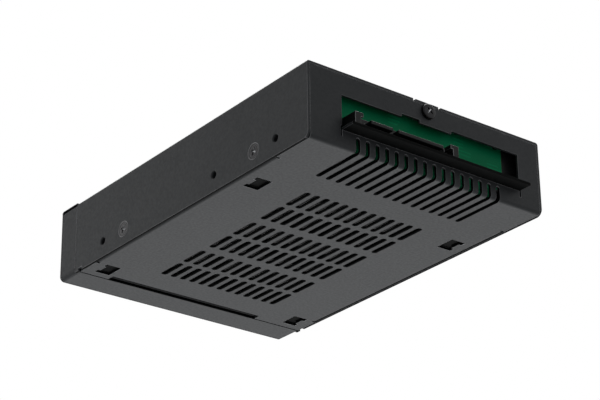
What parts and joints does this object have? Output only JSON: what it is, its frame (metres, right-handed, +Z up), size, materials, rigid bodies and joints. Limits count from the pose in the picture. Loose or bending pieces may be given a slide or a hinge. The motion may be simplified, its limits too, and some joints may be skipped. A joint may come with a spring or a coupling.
{
  "type": "hot swap drive cage",
  "caption": "Folded steel drive cage with vented underside, rear plug window and shelf, and a locking pull-out tray with a lever handle.",
  "frame": {"origin": "middle of the underside of the whole outline", "axes": "+X to the right seen from the front, +Y to the rear plug, +Z up"},
  "size_m": [0.1016, 0.1526, 0.0286],
  "materials": {
    "painted_steel": "dark grey satin powder coat on folded steel",
    "black_plastic": "fine-grained black moulding",
    "dark_plastic": "satin charcoal moulding",
    "black_screw": "black zinc plated steel",
    "bright_steel": "nickel plated steel",
    "circuit_board": "green solder mask over glass fibre board",
    "gold_contact": "gold plated contact strips",
    "capacitor_can": "drawn aluminium can",
    "clear_acrylic": "clear acrylic rod",
    "lamp_resin": "diffused resin lamp",
    "lock_chrome": "bright chromed zinc casting"
  },
  "bodies": {
    "cage": {"bottom_pan": "painted_steel", "rear_wall": "painted_steel", "top_cover": "painted_steel", "side_panel_right": "painted_steel", "side_panel_left": "painted_steel", "front_frame": "painted_steel", "front_bezel": "black_plastic", "bezel_screws": "black_screw", "guide_rail_right": "black_plastic", "guide_rail_left": "black_plastic", "backplane_board": "circuit_board", "board_screws": "bright_steel", "board_capacitors": "capacitor_can", "board_chip": "black_plastic", "status_lamps": "lamp_resin", "drive_receptacle": "black_plastic", "receptacle_contacts": "gold_contact", "rear_plug_housing": "black_plastic", "rear_plug_contacts": "gold_contact", "rear_screw": "black_screw", "side_screws": "black_screw"},
    "tray": {"tray_base": "dark_plastic", "tray_front": "dark_plastic", "tray_front_screws": "black_screw", "power_light_pipe": "clear_acrylic", "activity_light_pipe": "clear_acrylic", "handle_pin": "bright_steel", "handle_spring": "bright_steel", "release_spring": "bright_steel", "lock_barrel": "lock_chrome"},
    "handle_lever": {"handle": "black_plastic"},
    "release": {"release_button": "dark_plastic"},
    "key_lock": {"lock_cylinder": "lock_chrome", "lock_cam": "bright_steel", "lock_cam_screw": "bright_steel"}
  },
  "joints": [
    {"name": "tray_slide", "type": "slide", "parent": "cage", "child": "tray", "axis": [0, -1, 0], "range_m": [0, 0.12]},
    {"name": "handle_swing", "type": "hinge", "parent": "tray", "child": "handle_lever", "pos_m": [0.0425, -0.07265, 0.012], "axis": [0, 0, 1], "range_deg": [0, 75]},
    {"name": "release_push", "type": "slide", "parent": "tray", "child": "release", "axis": [0, 0, -1], "range_m": [0, 0.002], "stiffness_N_per_m": 600, "springref_m": -0.0004, "deforming": ["release_spring"]},
    {"name": "lock_turn", "type": "hinge", "parent": "tray", "child": "key_lock", "pos_m": [-0.0415, -0.06845, 0.0133], "axis": [0, -1, 0], "range_deg": [0, 90]}
  ]
}
